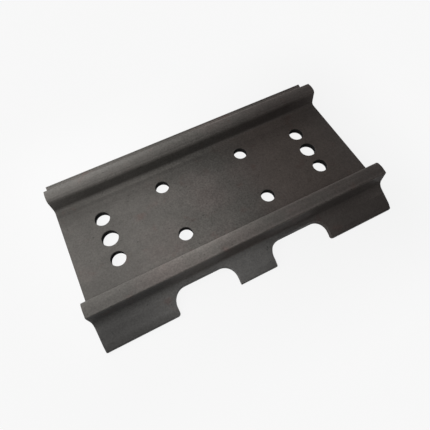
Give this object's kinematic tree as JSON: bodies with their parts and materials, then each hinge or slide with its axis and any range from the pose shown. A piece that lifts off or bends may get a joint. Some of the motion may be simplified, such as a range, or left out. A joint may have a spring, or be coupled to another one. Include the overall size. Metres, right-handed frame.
{
  "type": "excavator track shoe",
  "caption": "Double-grouser steel track shoe for a crawler machine, with link bolt holes, end holes for a bolt-on road pad, and a notched front lip.",
  "frame": {"origin": "centre of the four link bolt holes, on the flat underside that seats on the track links", "axes": "+X along the grousers, +Y across them towards the raised rear lip, +Z out of the track towards the ground"},
  "size_m": [0.3, 0.1746, 0.0363],
  "materials": {
    "shoe_paint": "matt dark grey shop paint over rolled steel"
  },
  "bodies": {
    "root": {"track_shoe": "shoe_paint"}
  },
  "joints": []
}
